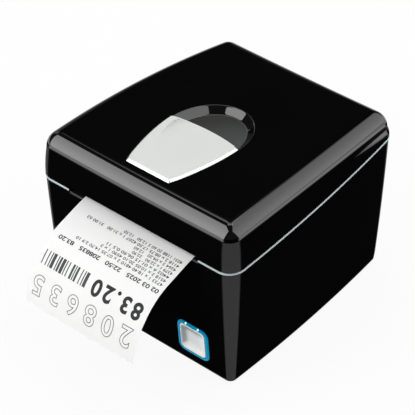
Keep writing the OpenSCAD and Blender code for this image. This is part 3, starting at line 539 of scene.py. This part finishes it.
# ---- receipt ----
PAPER_X = 4.2
PAPER_W = 80.0
PAPER_T = 0.1
PAPER_GRID = (32, 110)
# The paper's run from inside the slot to its free end, as y and height.
RECEIPT_STOPS = ((-61.3, 82.9), (-67, 82.3), (-74.7, 81), (-82, 78.9), (-89.2, 76.4),
                 (-95, 74.4), (-100.6, 71.9), (-105.3, 68.8), (-109.6, 65), (-113.6, 60.4),
                 (-117.2, 55.4), (-120.2, 49.6), (-122.2, 44), (-123.3, 38.7))


def paper_curve():
    """Points of a smooth curve through the receipt's stops, with their lengths along it."""
    stops = [Vector(p) for p in RECEIPT_STOPS]
    points = []
    for i in range(len(stops) - 1):
        p0 = stops[max(i - 1, 0)]
        p1, p2 = stops[i], stops[i + 1]
        p3 = stops[min(i + 2, len(stops) - 1)]
        for k in range(8):
            t = k / 8
            points.append(0.5 * (2 * p1 + (p2 - p0) * t + (2 * p0 - 5 * p1 + 4 * p2 - p3) * t * t
                                 + (3 * p1 - p0 - 3 * p2 + p3) * t ** 3))
    points.append(stops[-1])
    lengths = [0.0]
    for a, b in zip(points, points[1:]):
        lengths.append(lengths[-1] + (b - a).length)
    return points, lengths


CURVE, ALONG = paper_curve()
SLOT_S = next(s for p, s in zip(CURVE, ALONG) if p.x <= -HALF_D)


def on_paper(x, s, off):
    """The point at x across and s along the paper, off millimetres above its upper side."""
    s = min(max(s, 0.0), ALONG[-1])
    i = max(k for k in range(len(ALONG) - 1) if ALONG[k] <= s)
    t = (s - ALONG[i]) / (ALONG[i + 1] - ALONG[i])
    p = CURVE[i].lerp(CURVE[i + 1], t)
    before, after = CURVE[max(i - 1, 0)], CURVE[min(i + 2, len(CURVE) - 1)]
    d = (after - before).normalized()
    up = Vector((-d.y, d.x)) * -1
    return at(x, p.x + up.x * off, p.y + up.y * off)


def receipt():
    deselect()
    across, along = PAPER_GRID
    bpy.ops.mesh.primitive_grid_add(x_subdivisions=across, y_subdivisions=along, size=2)
    sheet = bpy.context.object
    sheet.name = sheet.data.name = "receipt_sheet"
    for v in sheet.data.vertices:
        s = (v.co.y + 1) / 2 * ALONG[-1]
        v.co = on_paper(PAPER_X + v.co.x * PAPER_W / 2, s, 0.0)
    only(sheet)
    thick = sheet.modifiers.new("thick", "SOLIDIFY")
    thick.thickness = PAPER_T * MM
    thick.offset = 1
    bpy.ops.object.modifier_apply(modifier=thick.name)
    face_outwards()
    smooth(sheet, 50)
    return sheet


def laid_on_paper(name, parts, cuts=0):
    """Joins flat print, in millimetres across and along, and bends it to the paper."""
    obj = joined(name, parts)
    if cuts:
        bpy.ops.object.mode_set(mode="EDIT")
        bpy.ops.mesh.select_all(action="SELECT")
        bpy.ops.mesh.subdivide(number_cuts=cuts)
        bpy.ops.object.mode_set(mode="OBJECT")
    for v in obj.data.vertices:
        v.co = on_paper(PAPER_X + v.co.x, SLOT_S + v.co.y, v.co.z)
    face_outwards()
    return obj


# Height of a figure as a share of the type's size.
FIGURE_SHARE = 0.7


def figures(text, right, s, height, weight=0.0, above=0.02, spacing=1.0, width=None):
    """Printed figures that start at x = right, their tops towards the paper's free end."""
    deselect()
    bpy.ops.object.text_add()
    obj = bpy.context.object
    obj.data.body = text
    obj.data.size = height / FIGURE_SHARE
    obj.data.offset = weight
    obj.data.extrude = above
    obj.data.space_character = spacing
    bpy.ops.object.convert(target="MESH")
    obj = bpy.context.object
    stretch = width / obj.dimensions.x if width else 1.0
    for v in obj.data.vertices:
        v.co = Vector((right - v.co.x * stretch, s + v.co.y, v.co.z))
    return obj


# Each row's figures with the width they take, then the bars' widths in units.
ROWS = (("4031 1188 20 60 5 12.50   12.50", 42),
        ("4118 2 x 08.75 17.50 4207 1 x 31.00   31.00 62", 67), ("4264 3 x 04.20   12.60", 30),
        ("4379 1 x 22.90   22.90", 29), ("4402 6 x 01.15 06.90 0.5 11", 45),
        ("4518 2 x 10.05 20.10 4590 1 x 3", 47),
        ("4733 1 x 18.40 4810 2 x 07.35 14.70 2.9 10", 63))
ROW_PITCH = 2.75
BAR_WIDTHS = (3, 1, 1, 2, 1, 3, 2, 1, 1, 1, 2, 3, 1, 2, 1,
              1, 3, 1, 2, 1, 1, 2, 3, 1, 1, 2, 1, 3, 1)
BAR_UNIT = 0.68
BARS_FROM = -4.0
BARS_AT = 39.4
BARS_LONG = 8.4


def printed_rows():
    rows = [figures(text, 37.4, 4.3 + ROW_PITCH * i, 1.8, 0.035, width=width)
            for i, (text, width) in enumerate(ROWS)]
    rows.append(figures("02 03 2025   22:50   208835   83.20", 38, 24.8, 2.4, 0.09, width=73))
    return laid_on_paper("printed_rows", rows)


def printed_total():
    return laid_on_paper("printed_total", [figures("83.20", 36, 36, 9, 0.4, spacing=1.28)], 4)


def order_number(name, weight, above):
    """A wide number; a light one over a heavier dark one leaves an outline."""
    return laid_on_paper(name, [figures("208635", 35.8, 50, 11.5, weight, above, 1.58)], 4)


def bar_code():
    bars = []
    x = BARS_FROM
    for i, width in enumerate(BAR_WIDTHS):
        if i % 2 == 0:
            deselect()
            bpy.ops.mesh.primitive_cube_add(size=1)
            bar = bpy.context.object
            for v in bar.data.vertices:
                v.co = Vector((x + (v.co.x - 0.5) * width * BAR_UNIT,
                               BARS_AT + v.co.y * BARS_LONG, v.co.z * 0.04))
            bars.append(bar)
        x -= width * BAR_UNIT
    return laid_on_paper("bar_code", bars, 5)


# ---- finishes ----
class Value:
    """A socket that takes arithmetic."""

    def __init__(self, finish, socket):
        self.finish, self.socket = finish, socket

    def _math(self, operation, first, second):
        return self.finish.add("ShaderNodeMath", {"operation": operation}, {0: first, 1: second})

    def __add__(self, other):
        return self._math("ADD", self, other)

    __radd__ = __add__

    def __sub__(self, other):
        return self._math("SUBTRACT", self, other)

    def __rsub__(self, other):
        return self._math("SUBTRACT", other, self)

    def __mul__(self, other):
        return self._math("MULTIPLY", self, other)

    __rmul__ = __mul__

    def __pow__(self, other):
        return self._math("POWER", self, other)

    def size(self):
        return self._math("ABSOLUTE", self, 0)

    def most(self, other):
        return self._math("MAXIMUM", self, other)

    def over(self, edge):
        return self._math("GREATER_THAN", self, edge)

    def under(self, edge):
        return self._math("LESS_THAN", self, edge)


class Finish:
    """A material with a Principled shader and the nodes that feed it."""

    def __init__(self, name, **fixed):
        self.material = bpy.data.materials.new(name)
        self.material.use_nodes = True
        self.tree = self.material.node_tree
        self.shader = self.tree.nodes["Principled BSDF"]
        self.place = self.add("ShaderNodeTexCoord", {}, {}, "Object")
        for key, value in fixed.items():
            self.shader.inputs[key.replace("_", " ")].default_value = value

    def add(self, kind, settings, inputs, output=0):
        node = self.tree.nodes.new(kind)
        for key, value in settings.items():
            setattr(node, key, value)
        for key, value in inputs.items():
            self.feed(node.inputs[key], value)
        return Value(self, node.outputs[output])

    def feed(self, socket, value):
        if isinstance(value, Value):
            self.tree.links.new(value.socket, socket)
        else:
            socket.default_value = value

    def noise(self, scale, detail=3.0, stretch=None):
        place = self.place
        if stretch:
            place = self.add("ShaderNodeMapping", {}, {"Vector": place, "Scale": stretch})
        return self.add("ShaderNodeTexNoise", {}, {"Vector": place, "Scale": scale,
                                                   "Detail": detail}, "Fac")

    def axes(self, vector):
        split = self.add("ShaderNodeSeparateXYZ", {}, {"Vector": vector}).socket.node
        return [Value(self, socket) for socket in split.outputs]

    def between(self, factor, low, high, start=0.0, end=1.0):
        return self.add("ShaderNodeMapRange", {}, {"Value": factor, "From Min": start,
                                                   "From Max": end, "To Min": low,
                                                   "To Max": high}, "Result")

    def colour(self, factor, a, b):
        a, b = (c if isinstance(c, Value) else (*c, 1) for c in (a, b))
        return self.add("ShaderNodeMix", {"data_type": "RGBA"}, {0: factor, 6: a, 7: b}, 2)

    def bump(self, height, depth, strength=1.0):
        return self.add("ShaderNodeBump", {}, {"Strength": strength, "Distance": depth,
                                               "Height": height}, "Normal")

    def wear(self, **inputs):
        for key, value in inputs.items():
            self.feed(self.shader.inputs[key.replace("_", " ")], value)
        return self.material


def toned(colour, k):
    return tuple(min(c * k, 1.0) for c in colour)


# Insets of the well's floor from the well's edge, across and along.
FLOOR_IN = (4.1, 4.0)


def gloss_black():
    """Polished black with painted reflection: the coat that shows the lamps is put only on the
    roundings; the well's floor is satin, with a painted sheen lighter towards the front right.
    """
    f = Finish("gloss_black", Specular_IOR_Level=0.0, Coat_Roughness=0.04, Coat_IOR=2.3)
    nx, ny, nz = (n.size() for n in f.axes(f.add("ShaderNodeTexCoord", {}, {}, "Normal")))
    # Painted reflection: the flat faces, with no specular and next to no coat, reflect nothing
    #     and stay black, and the coat that shows the lamps' highlight bands is put by which way
    #     the surface faces. A rounding's crest, its foot and the upright corners each have their
    #     own share, told apart by how far the surface faces up.
    rounded = f.between(nx.most(ny).most(nz), 1, 0.012, 0.95, 0.98)
    foot = f.between(nz, 0.95, 0, 0.38, 0.43) * f.between((nx - ny).size(), 0, 1, 0.6, 0.8)
    crest = f.between(nz, 0.68, 0.44, 0.58, 0.94) * nz.over(0.38)
    highlight_share = crest.most(foot * f.between(nz, 0, 1, 0.215, 0.235))
    highlight_share = highlight_share.most(f.between(nz, 0.22, 0, 0.178, 0.188))
    x, y, z = f.axes(f.place)
    a, b = (WELL_A - FLOOR_IN[0]) * MM, (WELL_B - FLOOR_IN[1]) * MM
    reach = (x * (1 / a)) ** 2 + ((y - WELL_Y * MM) * (1 / b)) ** 2
    # The well's floor: a real satin roughness, and a painted sheen in its colour.
    satin_and_sheen = reach.under(1) * z.over(0.1) * nz.over(0.93)
    black = f.colour(f.noise(18, 2), (0.0012, 0.0012, 0.0013), (0.0022, 0.0022, 0.0023))
    # Painted sheen: a grey that stands in for light on the floor, lighter towards the front
    # right.
    painted_sheen_grey = f.colour(f.between(x - y, 0, 1, -0.01, 0.035), (0.04, 0.04, 0.036), (0.085, 0.1, 0.1))
    return f.wear(Base_Color=f.colour(satin_and_sheen, black, painted_sheen_grey),
                  Roughness=f.between(f.noise(140, 6, (1, 1, 0.35)), 0.05, 0.09) + satin_and_sheen * 0.4,
                  # Painted reflection: coat only where the lamps' highlight bands should show.
                  Coat_Weight=rounded * highlight_share,
                  Normal=f.bump(f.noise(900, 2), 0.000004, 0.5))


def moulded(name, colour, rough=0.5, grain=1800, depth=0.00003, specular=0.5):
    f = Finish(name, Specular_IOR_Level=specular)
    cloud = f.noise(35, 3)
    return f.wear(Base_Color=f.colour(cloud, toned(colour, 0.85), toned(colour, 1.12)),
                  Roughness=f.between(f.noise(60, 4), rough - 0.07, rough + 0.07),
                  Normal=f.bump(f.noise(grain, 3), depth))


def metal(name, colour, rough=0.3, stretch=(1, 1, 1), scale=900, depth=0.00001):
    f = Finish(name)
    lines = f.noise(scale, 4, stretch)
    stain = f.noise(40, 3)
    return f.wear(Base_Color=f.colour(stain, toned(colour, 0.88), toned(colour, 1.06)),
                  Metallic=1.0, Roughness=f.between(lines, rough - 0.08, rough + 0.1),
                  Normal=f.bump(lines, depth))


def silver_paint(name, colour, rough, metallic=0.3, flake=2600, slope_shaded=False):
    """Metallic paint with fine flakes; with slope_shaded set, painted shade darkens slopes
    that face down or right and a painted highlight whitens slopes that face up.
    """
    f = Finish(name, Metallic=metallic, Coat_Roughness=0.06, Coat_IOR=1.45)
    flakes = f.add("ShaderNodeTexVoronoi", {}, {"Vector": f.place, "Scale": flake}, "Distance")
    base = f.colour(f.noise(25, 2), toned(colour, 0.98), toned(colour, 1.02))
    if slope_shaded:
        nx, _, nz = f.axes(f.add("ShaderNodeTexCoord", {}, {}, "Normal"))
        slope = nz - nx * 0.8
        # Painted shade on slopes facing down or right, painted highlight on slopes facing up.
        base = f.colour(f.between(slope, 0, 1, -0.42, -0.03), toned(colour, 0.28), base)
        base = f.colour(f.between(slope, 0, 1, 0.06, 0.3), base, (0.98, 0.98, 0.97))
    return f.wear(Base_Color=base, Coat_Weight=0.3,
                  Roughness=f.between(flakes, rough - 0.04, rough + 0.06),
                  Normal=f.bump(flakes, 0.000002, 0.5))


def blue_gloss():
    """Clear blue plastic with a faint painted glow that brightens its blue."""
    f = Finish("bezel_blue", Specular_IOR_Level=0.05, Emission_Strength=0.3)
    cloud = f.noise(90, 3)
    return f.wear(Base_Color=f.colour(cloud, (0.0, 0.26, 0.45), (0.0, 0.31, 0.53)),
                  # Painted glow: emission that lifts the ring's blue, not a light of its own.
                  Emission_Color=f.colour(cloud, (0.0, 0.31, 0.55), (0.0, 0.37, 0.64)),
                  Roughness=f.between(f.noise(300, 3), 0.12, 0.2),
                  Normal=f.bump(f.noise(1500, 2), 0.000005, 0.5))


def glint_glow():
    # Painted highlights: the spots glow to stand in for the lamps' glints on the ring.
    f = Finish("glint_glow", Emission_Strength=1.1)
    glow = f.noise(1800, 2)
    return f.wear(Base_Color=f.colour(glow, (0.5, 0.8, 0.9), (0.7, 0.92, 1.0)),
                  Emission_Color=f.colour(glow, (0.55, 0.85, 0.95), (0.75, 0.95, 1.0)),
                  Roughness=f.between(glow, 0.1, 0.2))


def paper(name, colour=(0.92, 0.92, 0.915)):
    f = Finish(name, Specular_IOR_Level=0.35, Sheen_Weight=0.05)
    fibres = f.noise(2400, 5, (1, 0.5, 0.5))
    cloud = f.noise(70, 4)
    return f.wear(Base_Color=f.colour(cloud, toned(colour, 0.985), toned(colour, 1.015)),
                  Roughness=f.between(fibres, 0.42, 0.6),
                  Normal=f.bump(fibres, 0.000012, 0.5))


def ink(name, low, high):
    """Thermal print, a little uneven from dot to dot."""
    f = Finish(name, Specular_IOR_Level=0.3)
    dots = f.noise(5200, 2)
    return f.wear(Base_Color=f.colour(dots, low, high),
                  Roughness=f.between(dots, 0.45, 0.6), Normal=f.bump(dots, 0.000004, 0.4))


def board():
    """Solder mask with copper tracks showing faintly under it."""
    f = Finish("solder_mask", Specular_IOR_Level=0.5)
    tracks = f.add("ShaderNodeTexVoronoi", {"distance": "CHEBYCHEV", "feature": "F1"},
                   {"Vector": f.place, "Scale": 320.0}, "Distance").over(0.42)
    return f.wear(Base_Color=f.colour(tracks, (0.008, 0.07, 0.03), (0.02, 0.14, 0.06)),
                  Roughness=f.between(f.noise(300, 3), 0.28, 0.42),
                  Normal=f.bump(tracks, 0.00004))


def kraft():
    f = Finish("kraft_board")
    fibres = f.noise(900, 5, (0.3, 1, 1))
    return f.wear(Base_Color=f.colour(fibres, (0.36, 0.26, 0.16), (0.52, 0.4, 0.27)),
                  Roughness=f.between(fibres, 0.75, 0.9), Normal=f.bump(fibres, 0.00004))


# Share of plain white in the floor as it is seen, the rest being lit paint.
FLOOR_WHITE = 0.92


def floor_finish():
    """Pale matt paint, seen near white but still darkened a little by the object's shadow."""
    f = Finish("floor_paint", Specular_IOR_Level=0.1)
    f.wear(Base_Color=f.colour(f.noise(3, 3), (0.83, 0.83, 0.83), (0.85, 0.85, 0.85)),
           Roughness=f.between(f.noise(40, 3), 0.85, 0.95))
    ray = f.add("ShaderNodeLightPath", {}, {}).socket.node
    seen = Value(f, ray.outputs["Is Camera Ray"])
    for kind in ("Is Glossy Ray", "Is Transmission Ray"):
        seen = seen.most(Value(f, ray.outputs[kind]))
    white = f.add("ShaderNodeEmission", {}, {"Color": (1, 1, 1, 1), "Strength": 1.0})
    shown = f.add("ShaderNodeMixShader", {}, {0: seen * FLOOR_WHITE,
                                              1: Value(f, f.shader.outputs[0]), 2: white})
    f.feed(f.tree.nodes["Material Output"].inputs["Surface"], shown)
    return f.material


# ---- light and floor ----
def panel(name, bearing, height, distance, wide, tall, power):
    """A softbox that faces the case, its bearing and height in degrees from the case's middle."""
    a, b = math.radians(bearing), math.radians(height)
    away = Vector((math.cos(b) * math.cos(a), math.cos(b) * math.sin(a), math.sin(b)))
    deselect()
    bpy.ops.object.light_add(type="AREA", location=Vector((0, 0, 0.1)) + away * distance)
    lamp = bpy.context.object
    lamp.name = name
    lamp.rotation_mode = "QUATERNION"
    lamp.rotation_quaternion = (-away).to_track_quat("-Z", "Y")
    lamp.data.shape = "RECTANGLE"
    lamp.data.size, lamp.data.size_y = wide, tall
    lamp.data.energy = power


def add_stage():
    deselect()
    bpy.ops.mesh.primitive_plane_add(size=8)
    floor = bpy.context.object
    floor.name = floor.data.name = "floor"
    floor.data.materials.append(floor_finish())
    world = bpy.data.worlds.new("studio")
    world.use_nodes = True
    world.node_tree.nodes["Background"].inputs["Color"].default_value = (1, 1, 1, 1)
    world.node_tree.nodes["Background"].inputs["Strength"].default_value = 0.04
    bpy.context.scene.world = world
    bpy.context.scene.view_settings.view_transform = "Standard"
    panel("front_left", -119, 31, 1.15, 1.3, 1.36, 13.7)
    panel("right", 48, 38, 1.15, 2.2, 1.8, 17)
    panel("back_left", 146, 28, 1.3, 1.3, 0.82, 2.45)
    panel("above", 135, 66, 1.15, 0.8, 0.8, 3.6)


def add_materials():
    made = {
        "shell_black": gloss_black(),
        "frame_black": moulded("frame_plastic", (0.03, 0.03, 0.032), 0.5),
        "trim_silver": silver_paint("trim_silver", (0.5, 0.58, 0.6), 0.3),
        "lever_silver": silver_paint("lever_silver", (0.84, 0.87, 0.84), 0.13, 0.8),
        # The button's pan has painted shade and highlight by slope.
        "button_silver": silver_paint("button_silver", (0.82, 0.86, 0.86), 0.2, 0.6, 3600, True),
        "bezel_blue": blue_gloss(),
        "rubber_black": moulded("rubber_feet", (0.02, 0.02, 0.02), 0.75, 900, 0.00006, 0.3),
        "steel": metal("turned_steel", (0.58, 0.58, 0.59), 0.28, (8, 1, 1)),
        "zinc_sheet": metal("zinc_sheet", (0.5, 0.51, 0.53), 0.36, (1, 1, 1), 300),
        "blade_steel": metal("ground_steel", (0.62, 0.63, 0.64), 0.25, (12, 1, 1)),
        "alloy": metal("cast_alloy", (0.6, 0.61, 0.62), 0.4, (1, 1, 1), 500, 0.00002),
        "brass": metal("turned_brass", (0.75, 0.6, 0.32), 0.3, (8, 1, 1)),
        "gear_white": moulded("acetal", (0.75, 0.75, 0.71), 0.4),
        "board_green": board(),
        "ceramic": moulded("glazed_ceramic", (0.68, 0.64, 0.5), 0.15, 1200, 0.000005),
        "paper_white": paper("thermal_paper"),
        "core_board": kraft(),
        "port_black": moulded("port_plastic", (0.015, 0.015, 0.015), 0.42),
        "motor_grey": metal("motor_can", (0.36, 0.36, 0.38), 0.38, (1, 1, 1), 500),
    }
    for row in frame["record"]["subparts"]:
        obj = frame["nodes"][row["node"]]
        obj.data.materials.clear()
        obj.data.materials.append(made[row["material_slot"]])
    return made


def dress(obj, material, body, slot, *nodes):
    obj.data.materials.clear()
    obj.data.materials.append(material)
    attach(obj, body)
    if nodes:
        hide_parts(*nodes)


add_camera()
add_stage()
FINISHES = add_materials()
dress(base_shell(), FINISHES["shell_black"], "root", "shell_black", "base_shell")
dress(cover_shell(), FINISHES["shell_black"], "cover", "shell_black", "cover_shell")
dress(seam_band(), FINISHES["trim_silver"], "root", "trim_silver", "seam_trim")
dress(open_lever(), FINISHES["lever_silver"], "lever", "lever_silver", "open_lever")
dress(button_bezel(), FINISHES["bezel_blue"], "root", "bezel_blue", "button_bezel")
dress(feed_button(), FINISHES["button_silver"], "button", "button_silver", "feed_button")
sheet = receipt()
dress(sheet, FINISHES["paper_white"], "root", "paper_white", "receipt")
ALONG[-1] * MM
BLACK_INK = ink("black_ink", (0.006, 0.006, 0.007), (0.02, 0.02, 0.021))
GREY_INK = ink("grey_ink", (0.03, 0.03, 0.031), (0.08, 0.08, 0.081))
for piece, finish in ((printed_rows(), BLACK_INK), (printed_total(), BLACK_INK),
                      (bar_code(), GREY_INK), (order_number("number_edge", 0.42, 0.02), GREY_INK),
                      (order_number("number_face", 0.0, 0.035), FINISHES["paper_white"])):
    dress(piece, finish, "root", "paper_white")
dress(painted_glints(), glint_glow(), "root", "bezel_blue")
